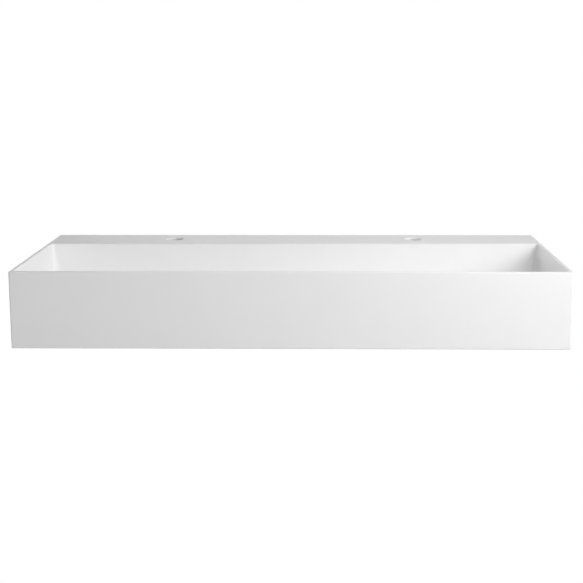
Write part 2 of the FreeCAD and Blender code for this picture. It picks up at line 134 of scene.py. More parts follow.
def tone(name, description, red, green, blue):
    """A colour property."""
    default = red, green, blue
    return FloatVectorProperty(
        name=name, description=description, default=default, min=0.0, max=1.0, subtype="COLOR"
    )


def share(name, description, value):
    """A property between 0 and 1."""
    return number(name, description, value, min=0.0, max=1.0, subtype="FACTOR")


def power(name, description, watts):
    """The power of a light."""
    return number(name, description, watts, min=0.0, unit="POWER")


def count(name, description, value, least):
    """A whole number with a lower limit."""
    return IntProperty(name=name, description=description, default=value, min=least)


class CastingSizes(bpy.types.PropertyGroup):
    """Sizes of the stone casting."""

    corner_radius: length("Corner radius", "Rounding of the upright outside corners", 3.0)
    edge_radius: length("Edge radius", "Rounding of the level outside edges", 2.5)
    rim: length("Rim", "Width of the rim at the front and the ends", 8.0)
    deck: length("Deck", "Depth of the tap deck behind the bowl", 122.0)
    bowl_depth: length("Bowl depth", "From the rim down to the edge of the bowl's floor", 92.0)
    draft: tilt("Draft", "Slope of the bowl's walls", 6.0)
    rim_corner: length("Rim corner", "Rounding of the bowl's upright corners at the rim", 5.0)
    floor_corner: length("Floor corner", "Rounding of the bowl's upright corners at the floor", 18.0)
    bowl_bend: length("Bowl bend", "Rounding between the bowl's walls and its floor", 12.0)
    lip_radius: length("Lip radius", "Rounding of the rim's inner edge", 2.5)
    floor_fall: length("Floor fall", "How far the floor falls to the waste", 8.0)
    floor_thickness: length("Floor thickness", "Stone under the bowl", 16.0)
    drain_flat: length("Drain flat", "Side of the level square round the waste", 92.0)
    skirt: length("Skirt", "Thickness of the front and end walls", 18.0)
    rear_wall: length("Rear wall", "Thickness of the wall that takes the bolts", 18.0)
    bowl_wall: length("Bowl wall", "Thickness of the bowl's rear wall, measured level", 14.0)
    deck_thickness: length("Deck thickness", "Stone of the tap deck", 18.0)
    hollow_radius: length("Hollow radius", "Rounding inside the hollow underside", 8.0)
    foot_edge: length("Foot edge", "Rounding of the inner edges at the base", 1.2)
    tap_mouth: length("Tap hole mouth", "Rounding of the tap holes at the deck", 2.4)
    bolt_hole: length("Bolt hole", "Diameter of the wall-bolt holes in the stone", 14.0)
    waste_hole: length("Waste hole", "Diameter of the hole through the floor", 46.0)
    recess: length("Waste recess", "Diameter of the recess for the waste flange", 68.0)
    recess_depth: length("Recess depth", "Depth of the recess for the waste flange", 5.0)
    recess_edge: length("Recess edge", "Rounding of the recess's mouth", 1.5)


class WasteSizes(bpy.types.PropertyGroup):
    """Sizes of the push-to-open waste."""

    thread_pitch: length("Thread pitch", "Pitch of the waste's outside thread", 2.309)
    thread_depth: length("Thread depth", "Depth of the waste's outside thread", 1.479)
    thread_steps: count("Thread steps", "Faces round one turn of the waste's thread", 48, 12)
    bore: length("Waste bore", "Inside diameter of the waste", 35.0)
    flange_thickness: length("Flange thickness", "Thickness of the waste's flange", 3.0)
    stem: length("Stem", "Outside diameter of the cartridge's thread", 12.0)
    stem_pitch: length("Stem pitch", "Pitch of the cartridge's thread", 1.0)
    stem_depth: length("Stem thread depth", "Depth of the cartridge's thread", 0.55)
    stem_steps: count("Stem steps", "Faces round one turn of the cartridge's thread", 32, 12)
    nut_width: length("Nut width", "Width of the nut across its flats", 52.0)
    turned_steps: count("Turned steps", "Faces round a turned piece", 96, 24)


class Finishes(bpy.types.PropertyGroup):
    """Colours and gloss of the pieces."""

    stone: tone("Stone", "Polished face of the cast stone", 0.945, 0.945, 0.944)
    stone_cloud: tone("Stone cloud", "Faint second tone of the polished stone", 0.930, 0.930, 0.928)
    # The unpolished stone's tones are darker than the polished stone's: partly the unpolished face, and
    # partly painted shade in the holes.
    rough_stone: tone("Rough stone", "Face of the stone as it leaves the mould", 0.70, 0.695, 0.682)
    unpolished_cloud_and_shade: tone("Rough stone cloud", "Second tone of the unpolished stone", 0.63, 0.623, 0.609)
    stone_roughness: share("Stone roughness", "Gloss of the polished stone, 0 is a mirror", 0.55)
    chrome: tone("Chrome", "Chromed brass", 0.83, 0.83, 0.84)
    chrome_smear: tone("Chrome smear", "Chromed brass under a film of water scale", 0.72, 0.73, 0.74)
    brass: tone("Brass", "Freshly turned brass", 0.76, 0.58, 0.31)
    brass_tarnish: tone("Tarnish", "Brass that has been handled", 0.56, 0.40, 0.20)
    steel: tone("Steel", "Drawn spring steel", 0.62, 0.62, 0.64)
    steel_film: tone("Steel film", "Oil film on the spring steel", 0.47, 0.46, 0.46)
    rubber: tone("Rubber", "Black rubber of the seals", 0.022, 0.022, 0.023)
    rubber_bloom: tone("Rubber bloom", "Grey bloom on the rubber", 0.055, 0.054, 0.052)
    nylon: tone("Nylon", "White nylon of the bushes and the washer", 0.84, 0.83, 0.79)
    nylon_flow: tone("Nylon flow", "Flow marks in the nylon", 0.76, 0.75, 0.70)


class StageSettings(bpy.types.PropertyGroup):
    """Camera, floor and lights."""

    camera_place: FloatVectorProperty(
        name="Camera place", description="Where the camera stands", default=(0.0504, -2.6510, 0.4508),
        subtype="TRANSLATION",
    )
    camera_yaw: tilt("Yaw", "Turn of the camera to the left", 1.245)
    camera_pitch: tilt("Pitch", "Tilt of the camera downwards", 10.744)
    camera_roll: tilt("Roll", "Roll of the camera", -0.143)
    focal_length: number("Focal length", "Lens, on a 36 mm sensor", 77.86, min=1.0, unit="CAMERA")
    floor_drop: length("Floor drop", "From the rim down to the floor", 850.0)
    floor_size: length("Floor size", "Side of the floor", 40000.0)
    floor_tone: tone("Floor", "Pale floor", 0.90, 0.90, 0.90)
    sky: share("Surround", "Strength of the even light all round", 0.03)
    key: power("Key", "Power of the near light at the front right", 15.9)
    right: power("Right", "Power of the wide light at the right", 29.9)
    fill: power("Fill", "Power of the wide light at the front left", 21.3)
    rear: power("Rear", "Power of the wide light behind", 29.5)
    corner: power("Corner", "Power of the wide light at the rear left", 46.2)
    low: power("Low", "Power of the wide low light at the front right", 8.3)


# Selecting and shaping


def make_active(piece):
    """Select one piece alone."""
    bpy.ops.object.select_all(action="DESELECT")
    piece.select_set(True)
    bpy.context.view_layer.objects.active = piece


def unite(pieces):
    """Join pieces into the first of them."""
    make_active(pieces[0])
    for piece in pieces:
        piece.select_set(True)
    bpy.ops.object.join()


def open_edit(piece, action="DESELECT"):
    """Go into edit mode on one piece, with nothing or all of it selected."""
    make_active(piece)
    bpy.context.tool_settings.mesh_select_mode = (True, False, False)
    bpy.ops.object.mode_set(mode="EDIT")
    bpy.ops.mesh.select_all(action=action)


def close_edit():
    bpy.ops.object.mode_set(mode="OBJECT")


def settle():
    """Put the selected piece's place, turn and scale into its mesh."""
    bpy.ops.object.transform_apply(location=True, rotation=True, scale=True)


def named(name):
    """Name the object that an operator has just added, and its mesh, and return it."""
    piece = bpy.context.object
    piece.name = piece.data.name = name
    return piece


def add_block(name, low, high):
    """A block between two corners."""
    low, high = Vector(low), Vector(high)
    bpy.ops.mesh.primitive_cube_add(size=1, location=HALF * (low + high), scale=high - low)
    settle()
    return named(name)


def add_rod(name, diameter, start, end, sides, turned=0.0):
    """A round rod, or a prism where it has few sides, from one point to another."""
    start, end = Vector(start), Vector(end)
    facing = (end - start).to_track_quat("Z", "Y") @ Matrix.Rotation(turned, 3, "Z").to_quaternion()
    bpy.ops.mesh.primitive_cylinder_add(
        vertices=sides, radius=HALF * diameter, depth=(end - start).length, location=HALF * (start + end),
        rotation=facing.to_euler(),
    )
    settle()
    return named(name)


def pick(piece, kind, wanted):
    """Select the verts, edges or faces that pass a test, and stop where none does."""
    bpy.context.tool_settings.mesh_select_mode = [kind == each for each in ("verts", "edges", "faces")]
    mesh = bmesh.from_edit_mesh(piece.data)
    found = 0
    for part in getattr(mesh, kind):
        chosen = bool(wanted(part))
        part.select_set(chosen)
        found += chosen
    bmesh.update_edit_mesh(piece.data)
    if not found:
        raise RuntimeError(f"{piece.name}: no {kind} to work on")


def pick_edges(piece, wanted):
    """Select the edges that pass a test on their two ends and their faces."""
    pick(piece, "edges", lambda edge: wanted(edge.verts[0].co, edge.verts[1].co, edge.link_faces))


def pick_points(piece, *places):
    """Select the points at these places."""
    pick(piece, "verts", lambda point: any((point.co - place).length < CLOSE for place in places))


def round_edges(piece, reach, wanted, segments=EDGE_STEPS, finish=-1):
    """Round the edges that pass a test; reach is how far the rounding goes into each face."""
    open_edit(piece)
    pick_edges(piece, wanted)
    bpy.ops.mesh.bevel(
        offset=reach, segments=segments, profile=HALF, affect="EDGES", clamp_overlap=False, material=finish
    )
    close_edit()


def reach_of(radius, angle):
    """How far a rounding of this radius goes into two faces that meet at this angle."""
    return radius / math.tan(HALF * angle)


def boolean(piece, tool, operation):
    """Cut a tool from a piece, join it on or keep what they share, and throw the tool away."""
    make_active(piece)
    change = piece.modifiers.new(operation.lower(), "BOOLEAN")
    change.operation, change.solver, change.object = operation, "EXACT", tool
    bpy.ops.object.modifier_apply(modifier=change.name)
    spent = tool.data
    bpy.data.objects.remove(tool)
    bpy.data.meshes.remove(spent)


def carve(piece, tool):
    boolean(piece, tool, "DIFFERENCE")


def weld(piece, tool):
    boolean(piece, tool, "UNION")


def merge_points(piece):
    """Close seams and poles, and turn every face outwards."""
    open_edit(piece, "SELECT")
    bpy.ops.mesh.remove_doubles(threshold=CLOSE * HALF)
    bpy.ops.mesh.normals_make_consistent(inside=False)
    close_edit()


def level_at(height, *points):
    return all(abs(point.z - height) < CLOSE for point in points)


def finish_piece(piece, slot, node, body="basin"):
    """Check that a piece is closed, shade it, give it its finish, hang it on its body's empty and hide the
    solid that it replaces.
    """
    mesh = bmesh.new()
    mesh.from_mesh(piece.data)
    open_edges = sum(1 for edge in mesh.edges if not edge.is_manifold)
    inside_out = mesh.calc_volume(signed=True) <= 0
    mesh.free()
    if open_edges or inside_out:
        raise RuntimeError(f"{piece.name}: {open_edges} open edges, inside out: {inside_out}")
    make_active(piece)
    bpy.ops.object.shade_smooth_by_angle(angle=SMOOTH_BELOW)
    weigh = piece.modifiers.new("weigh normals", "WEIGHTED_NORMAL")
    weigh.keep_sharp = True
    bpy.ops.object.modifier_apply(modifier=weigh.name)
    if not piece.data.materials:
        piece.data.materials.append(finish_of(SLOT_FINISHES[slot]))
    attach(piece, body)
    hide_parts(node)


def axis_at(height):
    """Point of the waste's axis."""
    return Vector((0, DRAIN.y, height))


def axis_rod(name, diameter, low, high, sides, turned=0.0):
    """A rod or prism on the waste's axis, between two heights."""
    return add_rod(name, diameter, axis_at(low), axis_at(high), sides, turned)


def outline_at(diameter, height):
    """Point of a turned outline, given in millimetres, in the upright plane through the waste's axis."""
    return Vector((HALF * diameter * MM, DRAIN.y, height * MM))


def draw_line(name, places):
    """Draw a line of edges through points, from a plane merged into its first point."""
    bpy.ops.mesh.primitive_plane_add(size=MM, location=(0, 0, 0))
    piece = named(name)
    open_edit(piece, "SELECT")
    bpy.ops.mesh.merge(type="CENTER")
    bpy.ops.transform.translate(value=places[0])
    for here, there in zip(places, places[1:]):
        bpy.ops.mesh.extrude_region_move(TRANSFORM_OT_translate={"value": there - here})
    close_edit()
    return piece


def draw_outline(name, corners):
    """Rounded line through (diameter, height, rounding) corners, closed unless it starts on the axis."""
    places = [outline_at(*corner[:2]) for corner in corners]
    piece = draw_line(name, places)
    open_edit(piece)
    if corners[0][0] > 0:
        pick_points(piece, places[0], places[-1])
        bpy.ops.mesh.edge_face_add()
    for index, place in enumerate(places):
        rounding = corners[index][2] * MM
        if rounding > 0:
            back, ahead = places[index - 1] - place, places[(index + 1) % len(places)] - place
            pick_points(piece, place)
            reach = reach_of(rounding, back.angle(ahead))
            bpy.ops.mesh.bevel(offset=reach, segments=OUTLINE_STEPS, affect="VERTICES", clamp_overlap=False)
    close_edit()
    return piece


def turn(name, corners, steps=0):
    """Turn an outline round the waste's axis into a closed piece."""
    piece = draw_outline(name, corners)
    steps = steps or bpy.context.scene.washbasin_waste.turned_steps
    open_edit(piece, "SELECT")
    bpy.ops.mesh.spin(steps=steps, angle=FULL_TURN, center=axis_at(0), axis=UP)
    close_edit()
    merge_points(piece)
    return piece


def turn_pieces(body, rows):
    """Turn and finish the pieces of a body, given as (name, node, slot, outline)."""
    for name, node, slot, corners in rows:
        finish_piece(turn(name, corners), slot, node, body)


def thread_sleeve(name, diameter, depth, pitch, low, high, chamfer, steps):
    """Helical thread on the waste's axis, as a thin sleeve turned off at a slant at its lower end."""
    crest, root = diameter / MM, (diameter - 2 * depth) / MM
    start = low - SPARE_TURNS * pitch
    flank = [(root, 0.0), (root, 0.10), (crest, 0.42), (crest, 0.58), (root, 0.90), (root, 1.0)]
    piece = draw_line(name, [outline_at(wide, (start + part * pitch) / MM) for wide, part in flank])
    make_active(piece)
    bpy.context.scene.cursor.location = axis_at(0)
    bpy.ops.object.origin_set(type="ORIGIN_CURSOR")
    screw = piece.modifiers.new("thread", "SCREW")
    screw.angle, screw.screw_offset, screw.steps, screw.render_steps = FULL_TURN, pitch, steps, steps
    screw.iterations = math.ceil((high - low) / pitch) + 2 * SPARE_TURNS
    bpy.ops.object.modifier_apply(modifier=screw.name)
    settle()
    merge_points(piece)
    for height, facing in ((low - pitch, -UP), (high + pitch, UP)):
        open_edit(piece, "SELECT")
        bpy.ops.mesh.bisect(
            plane_co=axis_at(height), plane_no=facing, use_fill=True, clear_outer=True, threshold=CLOSE * MM
        )
        close_edit()
    merge_points(piece)
    bottom, top, slant, spare = low / MM, high / MM, chamfer / MM, OVERRUN / MM
    wide = crest + slant
    envelope = [(0, bottom, 0), (crest - 2 * slant, bottom, 0), (wide, bottom + 1.5 * slant, 0)]
    boolean(piece, turn("envelope", [*envelope, (wide, top, 0), (0, top, 0)], steps), "INTERSECT")
    hollow, below, above = root - SLEEVE_STOCK, bottom - spare, top + spare
    core = [(0, below, 0), (hollow, below, 0), (hollow, above, 0), (0, above, 0)]
    carve(piece, turn("core", core, steps))
    merge_points(piece)
    return piece


# Finishes


FLOAT, COLOUR, VECTOR = "NodeSocketFloat", "NodeSocketColor", "NodeSocketVector"
# Grey that darkens the stone's pits: painted shade in the pits.
PAINTED_PIT_SHADE = (0.42, 0.41, 0.39, 1.0)
WHITE = (1, 1, 1, 1)

# A Mix node's sockets for colours.
MIX_FIRST, MIX_SECOND, MIX_RESULT = 6, 7, 2

SLOT_FINISHES = {
    "cast_stone": "polished_stone",
    "chromed_brass": "chrome_finish",
    "raw_brass": "brass_finish",
    "spring_steel": "steel_finish",
    "black_rubber": "rubber_finish",
    "white_nylon": "nylon_finish",
}


def set_inputs(node, inputs):
    """Set the values of a node's inputs."""
    for key, value in inputs.items():
        node.inputs[key].default_value = value


def add_node(tree, kind, place, inputs=None, **settings):
    """Add a shader node with its settings and the values of its inputs."""
    node = tree.nodes.new("ShaderNode" + kind)
    node.location = place
    for key, value in settings.items():
        setattr(node, key, value)
    set_inputs(node, inputs or {})
    return node


def join(source, output, target, socket):
    """Link an output of one node to an input of another in the same tree."""
    source.id_data.links.new(source.outputs[output], target.inputs[socket])


def new_group(name, scales):
    """First and last node of a new group: place, tones, scales and ends of its gloss in, a surface out."""
    tree = bpy.data.node_groups.new(name, "ShaderNodeTree")
    sockets = [("Place", VECTOR), ("Tone", COLOUR), ("Second tone", COLOUR)]
    sockets += [(label, FLOAT) for label in (*scales, "Smoothest", "Roughest")]
    for label, kind in sockets:
        socket = tree.interface.new_socket(name=label, in_out="INPUT", socket_type=kind)
        if label in scales:
            socket.default_value = scales[label]
    for label, kind in (("Colour", COLOUR), ("Roughness", FLOAT), ("Height", FLOAT)):
        tree.interface.new_socket(name=label, in_out="OUTPUT", socket_type=kind)
    start, end = tree.nodes.new("NodeGroupInput"), tree.nodes.new("NodeGroupOutput")
    start.location, end.location = (-900, 0), (900, 0)
    return start, end


def noise(place, start, scale, values):
    """Noise texture at the group's place, with its scale from one of the group's inputs."""
    node = add_node(start.id_data, "TexNoise", place, values)
    join(start, "Place", node, "Vector")
    join(start, scale, node, "Scale")
    return node


def stretch(place, source, output, low, high, to_low=0.0, to_high=1.0):
    """Map Range node that stretches part of a value's range."""
    ends = {"From Min": low, "From Max": high, "To Min": to_low, "To Max": to_high}
    node = add_node(source.id_data, "MapRange", place, ends)
    join(source, output, node, "Value")
    return node


def gloss_of(place, start, source, output, low, high):
    """Stretch part of a value's range from the group's smoothest to its roughest."""
    node = stretch(place, source, output, low, high)
    join(start, "Smoothest", node, "To Min")
    join(start, "Roughest", node, "To Max")
    return node


def blend_tones(place, start, mask):
    """Mix node between the group's two tones by a mask."""
    node = add_node(start.id_data, "Mix", place, data_type="RGBA")
    join(mask, "Result", node, "Factor")
    join(start, "Tone", node, MIX_FIRST)
    join(start, "Second tone", node, MIX_SECOND)
    return node


def sum_of(place, first, first_output, second, second_output, factor):
    """First plus factor times second."""
    node = add_node(first.id_data, "Math", place, {1: factor}, operation="MULTIPLY_ADD")
    join(second, second_output, node, 0)
    join(first, first_output, node, 2)
    return node


def product_of(place, first, first_output, second, second_output):
    """First times second."""
    node = add_node(first.id_data, "Math", place, operation="MULTIPLY")
    join(first, first_output, node, 0)
    join(second, second_output, node, 1)
    return node


def put_out(end, tones, gloss, relief, output):
    """Join a group's colour, roughness and height to its outputs, and return the group."""
    join(tones, MIX_RESULT, end, "Colour")
    join(gloss, "Result", end, "Roughness")
    join(relief, output, end, "Height")
    return end.id_data


def cast_stone_group():
    """Clouds of mineral filler, fine grain, and pits left by air in the mould, with painted shade in the
    pits.
    """
    start, end = new_group("cast stone", {"Clouds": 16.0, "Grain": 900.0, "Pits": 0.0})
    tree = start.id_data
    clouds = noise((-600, 300), start, "Clouds", {"Detail": 5.0, "Roughness": 0.6})
    grain = noise((-600, 0), start, "Grain", {"Detail": 3.0, "Roughness": 0.7})
    pits = add_node(tree, "TexVoronoi", (-600, -300), {"Scale": 210.0, "Randomness": 1.0})
    patches = add_node(tree, "TexNoise", (-600, -600), {"Scale": 60.0, "Detail": 2.0})
    for texture in (pits, patches):
        join(start, "Place", texture, "Vector")
    mixed = sum_of((-350, 200), clouds, "Fac", grain, "Fac", 0.35)
    mask = stretch((-100, 200), mixed, "Value", 0.50, 0.86)
    tones = blend_tones((150, 250), start, mask)
    holes = stretch((-350, -300), pits, "Distance", 0.10, 0.24, 1.0, 0.0)
    where = stretch((-350, -600), patches, "Fac", 0.56, 0.66)
    spread = product_of((-100, -400), holes, "Result", where, "Result")
    pitted = product_of((150, -350), spread, "Value", start, "Pits")
    # The pits are mixed towards the pit grey: painted shade in the pits, on top of their bump.
    shaded = add_node(tree, "Mix", (400, 250), {MIX_SECOND: PAINTED_PIT_SHADE}, data_type="RGBA")
    join(pitted, "Value", shaded, "Factor")
    join(tones, MIX_RESULT, shaded, MIX_FIRST)
    gloss = gloss_of((150, 0), start, grain, "Fac", 0.3, 0.7)
    relief = sum_of((400, -200), grain, "Fac", clouds, "Fac", 1.5)
    height = sum_of((620, -250), relief, "Value", pitted, "Value", -6.0)
    return put_out(end, shaded, gloss, height, "Value")


def turned_metal_group():
    """Fine rings left by the lathe, and patches of tarnish or smear."""
    start, end = new_group("turned metal", {"Rings": 2600.0, "Patches": 90.0})
    tree = start.id_data
    split = add_node(tree, "SeparateXYZ", (-700, 0))
    join(start, "Place", split, "Vector")
    flat = add_node(tree, "CombineXYZ", (-520, 120))
    join(split, "X", flat, "X")
    join(split, "Y", flat, "Y")
    radius = add_node(tree, "VectorMath", (-350, 120), operation="LENGTH")
    join(flat, "Vector", radius, 0)
    across = add_node(tree, "CombineXYZ", (-180, 60))
    join(radius, "Value", across, "X")
    join(split, "Z", across, "Z")
    rings = add_node(tree, "TexNoise", (0, 60), {"Detail": 2.0, "Roughness": 0.6})
    join(across, "Vector", rings, "Vector")
    join(start, "Rings", rings, "Scale")
    patches = noise((0, -250), start, "Patches", {"Detail": 4.0, "Roughness": 0.6})
    mask = stretch((220, -250), patches, "Fac", 0.42, 0.72)
    tones = blend_tones((450, 200), start, mask)
    worn = sum_of((220, -50), mask, "Result", rings, "Fac", 0.5)
    gloss = gloss_of((450, -50), start, worn, "Value", 0.1, 1.2)
    return put_out(end, tones, gloss, rings, "Fac")


def moulded_group():
    """Flow marks or bloom on a moulded piece, with the fine grain of its mould."""
    start, end = new_group("moulded", {"Patches": 120.0, "Grain": 2200.0})
    patches = noise((-500, 200), start, "Patches", {"Detail": 4.0, "Distortion": 0.6})
    grain = noise((-500, -150), start, "Grain", {"Detail": 2.0})
    mask = stretch((-200, 200), patches, "Fac", 0.38, 0.68)
    tones = blend_tones((100, 250), start, mask)
    gloss = gloss_of((100, -50), start, grain, "Fac", 0.3, 0.7)
    height = sum_of((100, -300), grain, "Fac", patches, "Fac", 0.8)
    return put_out(end, tones, gloss, height, "Value")


def shared_group(name):
    """One of the shared node groups, built the first time that a material asks for it."""
    makers = {"cast stone": cast_stone_group, "turned metal": turned_metal_group, "moulded": moulded_group}
    return bpy.data.node_groups.get(name) or makers[name]()


def finish_of(kind):
    """Material of a finish, made from its shared group the first time that a piece asks for it."""
    if kind in bpy.data.materials:
        return bpy.data.materials[kind]
    tones = bpy.context.scene.washbasin_finishes
    gloss = tones.stone_roughness
    rough_scales = {"Clouds": 34.0, "Grain": 420.0, "Pits": 0.9}
    # Group, its two tones, its smoothest and roughest, its relief in millimetres and its other scales.
    recipes = {
        "polished_stone": (
            "cast stone", tones.stone, tones.stone_cloud, gloss - 0.05, gloss + 0.07, 0.025, {}
        ),
        # Unpolished stone: its darker tone is partly the unpolished face and partly painted shade in the
        # holes.
        "rough_stone": (
            "cast stone", tones.rough_stone, tones.unpolished_cloud_and_shade, 0.68, 0.86, 0.1, rough_scales
        ),
        "chrome_finish": ("turned metal", tones.chrome, tones.chrome_smear, 0.06, 0.22, 0.001, {}),
        "brass_finish": ("turned metal", tones.brass, tones.brass_tarnish, 0.20, 0.46, 0.004, {}),
        "steel_finish": ("turned metal", tones.steel, tones.steel_film, 0.22, 0.42, 0.003, {}),
        "rubber_finish": ("moulded", tones.rubber, tones.rubber_bloom, 0.55, 0.78, 0.01, {}),
        "nylon_finish": ("moulded", tones.nylon, tones.nylon_flow, 0.38, 0.52, 0.01, {}),
    }
    group, first, second, smooth, rough, depth, scales = recipes[kind]
    material = bpy.data.materials.new(kind)
    material.use_nodes = True
    tree = material.node_tree
    shader = tree.nodes["Principled BSDF"]
    place, output = add_node(tree, "TexCoord", (-1100, 0)), "Object"
    if group == "turned metal":
        shader.inputs["Metallic"].default_value = 1.0
        centre = add_node(tree, "Mapping", (-900, 0), {"Location": -axis_at(0)})
        join(place, output, centre, "Vector")
        place, output = centre, "Vector"
    values = {"Tone": (*first, 1.0), "Second tone": (*second, 1.0), "Smoothest": smooth, "Roughest": rough}
    pattern = add_node(tree, "Group", (-650, 0), values | scales, node_tree=shared_group(group))
    relief = add_node(tree, "Bump", (-350, -250), {"Strength": 1.0, "Distance": depth * MM})
    join(place, output, pattern, "Place")
    join(pattern, "Height", relief, "Height")
    join(pattern, "Colour", shader, "Base Color")
    join(pattern, "Roughness", shader, "Roughness")
    join(relief, "Normal", shader, "Normal")
    return material


# Stone casting


# Material slots of the stone: polished, and unpolished with a darker tone that is partly painted shade.
POLISHED, UNPOLISHED_AND_SHADE = 0, 1


def inside(sizes, inset):
    """Half width, front and rear of the bowl, set in from the casting's front and ends."""
    return STONE_HIGH.x - inset, STONE_LOW.y + inset, -sizes.deck - inset + sizes.rim


def wall_inset(sizes, height):
    """How far the bowl's drafted walls are set in at a height."""
    return sizes.rim + (STONE_HIGH.z - height) * math.tan(sizes.draft)


def wall_corner(sizes, height):
    """Rounding of the bowl's upright corners at a height; it grows from the rim to the floor."""
    part = (STONE_HIGH.z - height) / sizes.bowl_depth
    return sizes.rim_corner + (sizes.floor_corner - sizes.rim_corner) * part


def give_stone(piece):
    """Give a piece the polished finish and the rough finish, whose darker tone is partly painted shade, in
    that order.
    """
    for kind in ("polished_stone", "rough_stone"):
        piece.data.materials.append(finish_of(kind))


def unpolish_and_shade(piece):
    """Give the faces that are selected in edit mode the rough finish, whose darker tone is partly painted
    shade.
    """
    piece.active_material_index = UNPOLISHED_AND_SHADE
    bpy.ops.object.material_slot_assign()


def stone_block(sizes):
    """The casting's envelope, its upright edges rounded first and then its level ones."""
    top, base = STONE_HIGH.z, STONE_LOW.z
    stone = add_block("stone_casting", STONE_LOW, STONE_HIGH)
    round_edges(stone, sizes.corner_radius, lambda a, b, faces: abs(a.z - b.z) > HALF * top)
    round_edges(stone, sizes.edge_radius, lambda a, b, faces: level_at(top, a, b) or level_at(base, a, b))
    give_stone(stone)
    return stone


def draw_section(extent, height, radius):
    """Level rectangle with round corners, as a closed line."""
    half_width, front, rear = extent
    middle = (0, HALF * (front + rear), height)
    bpy.ops.mesh.primitive_plane_add(size=1, location=middle)
    section = named("section")
    open_edit(section, "SELECT")
    bpy.ops.transform.resize(value=(2 * half_width, rear - front, 1), center_override=middle)
    bpy.ops.mesh.bevel(offset=radius, segments=CORNER_STEPS, affect="VERTICES", clamp_overlap=False)
    bpy.ops.mesh.delete(type="ONLY_FACE")
    close_edit()
    settle()
    return section


def loft(name, sections):
    """Closed tool through (extent, height, corner radius) sections, given from the top down."""
    unite([draw_section(*section) for section in sections])
    piece = named(name)
    heights = [height for extent, height, radius in sections]
    for upper, lower in zip(heights, heights[1:]):
        open_edit(piece)
        pick_edges(piece, lambda a, b, faces: level_at(upper, a, b) or level_at(lower, a, b))
        bpy.ops.mesh.bridge_edge_loops()
        close_edit()
    for end in (heights[0], heights[-1]):
        open_edit(piece)
        pick_edges(piece, lambda a, b, faces: level_at(end, a, b))
        bpy.ops.mesh.edge_face_add()
        close_edit()
    merge_points(piece)
    return piece


def drain_extent(sizes):
    """Half width, front and rear of the level square round the waste."""
    half = HALF * sizes.drain_flat
    return half, DRAIN.y - half, DRAIN.y + half


def floor_edge(sizes):
    """How far the floor is set in, inside the bend up to the walls, and the rounding of its corners."""
    reach = reach_of(sizes.bowl_bend, QUARTER_TURN + sizes.draft)
    inset = wall_inset(sizes, STONE_HIGH.z - sizes.bowl_depth) + reach
    return inset, sizes.floor_corner - reach


def bowl_tool(sizes):
    """Space inside the bowl: drafted walls, round bend and the fall of the floor."""
    top, floor = STONE_HIGH.z + OVERRUN, STONE_HIGH.z - sizes.bowl_depth
    floor_inset, floor_corner = floor_edge(sizes)
    sections = [(inside(sizes, wall_inset(sizes, top)), top, wall_corner(sizes, top))]
    for step in range(BEND_STEPS, -1, -1):
        angle = (QUARTER_TURN - sizes.draft) * step / BEND_STEPS
        out = sizes.bowl_bend * math.sin(angle)
        height = floor + sizes.bowl_bend * (1 - math.cos(angle))
        sections.append((inside(sizes, floor_inset - out), height, floor_corner + out))
    sections.append((drain_extent(sizes), floor - sizes.floor_fall, floor_corner))
    return loft("bowl", sections)


def floor_pad(sizes, ceiling):
    """Underside of the floor, which follows its fall."""
    floor_inset, corner = floor_edge(sizes)
    extent = inside(sizes, floor_inset)
    low = drain_extent(sizes), ceiling - sizes.floor_fall, corner
    return loft("pad", [(extent, ceiling + OVERRUN, corner), (extent, ceiling, corner), low])


def hollow_tool(sizes):
    """Space under the bowl, less the pad that follows the floor's fall."""
    ceiling = STONE_HIGH.z - sizes.bowl_depth - sizes.floor_thickness
    half_width, front, rear = STONE_HIGH.x - sizes.skirt, STONE_LOW.y + sizes.skirt, -HALF * sizes.deck
    tool = add_block("hollow", (-half_width, front, STONE_LOW.z - OVERRUN), (half_width, rear, ceiling))
    round_edges(
        tool, sizes.hollow_radius,
        lambda a, b, faces: max(a.z, b.z) > ceiling - CLOSE and min(a.y, b.y) < rear - CLOSE,
    )
    carve(tool, floor_pad(sizes, ceiling))
    return tool


def channel_tool(sizes):
    """Space behind the bowl and under the deck."""
    ceiling, low = STONE_HIGH.z - sizes.deck_thickness, STONE_LOW.z - OVERRUN
    half_width, rear = STONE_HIGH.x - sizes.skirt, -sizes.rear_wall
    front = -sizes.deck - sizes.deck_thickness * math.tan(sizes.draft) + sizes.bowl_wall
    lean = (ceiling - low) * math.tan(sizes.draft)
    tool = add_block("channel", (-half_width, front, low), (half_width, rear, ceiling))
    open_edit(tool)
    pick_edges(tool, lambda a, b, faces: level_at(low, a, b) and max(a.y, b.y) < front + CLOSE)
    bpy.ops.transform.translate(value=(0, -lean, 0))
    close_edit()
    round_edges(tool, sizes.hollow_radius, lambda a, b, faces: max(a.z, b.z) > ceiling - CLOSE)
    return tool


def cut_unpolished_and_shaded(stone, tool):
    """Cut with a tool whose faces leave unpolished stone, in a darker tone that is partly painted shade in
    the holes.
    """
    give_stone(tool)
    open_edit(tool, "SELECT")
    unpolish_and_shade(tool)
    close_edit()
    carve(stone, tool)


def inner_edge(height, margin, rear):
    """Test for the edges of an opening in the top or the base, inside a margin."""
    side, front = STONE_HIGH.x - margin, STONE_LOW.y + margin

    def wanted(a, b, faces):
        within = all(abs(point.x) < side and front < point.y < rear for point in (a, b))
        return within and level_at(height, a, b) and any(abs(face.normal.z) < LEVEL for face in faces)

    return wanted


def round_mouth(stone, centre, diameter, radius, segments):
    """Round the upper edge of a hole and polish the rounding."""
    slack = 0.1 * MM

    def on_mouth(a, b, faces):
        off = [math.hypot(point.x - centre[0], point.y - centre[1]) - HALF * diameter for point in (a, b)]
        return level_at(centre[2], a, b) and max(map(abs, off)) < slack

    round_edges(stone, radius, on_mouth, segments, POLISHED)


def at_wall_or_base(face):
    """Test for the casting's faces on the wall plane and under its base."""
    middle = face.calc_center_median()
    if face.normal.y > SQUARE_ON:
        return middle.y > -MM
    return face.normal.z < -SQUARE_ON and level_at(STONE_LOW.z, middle)


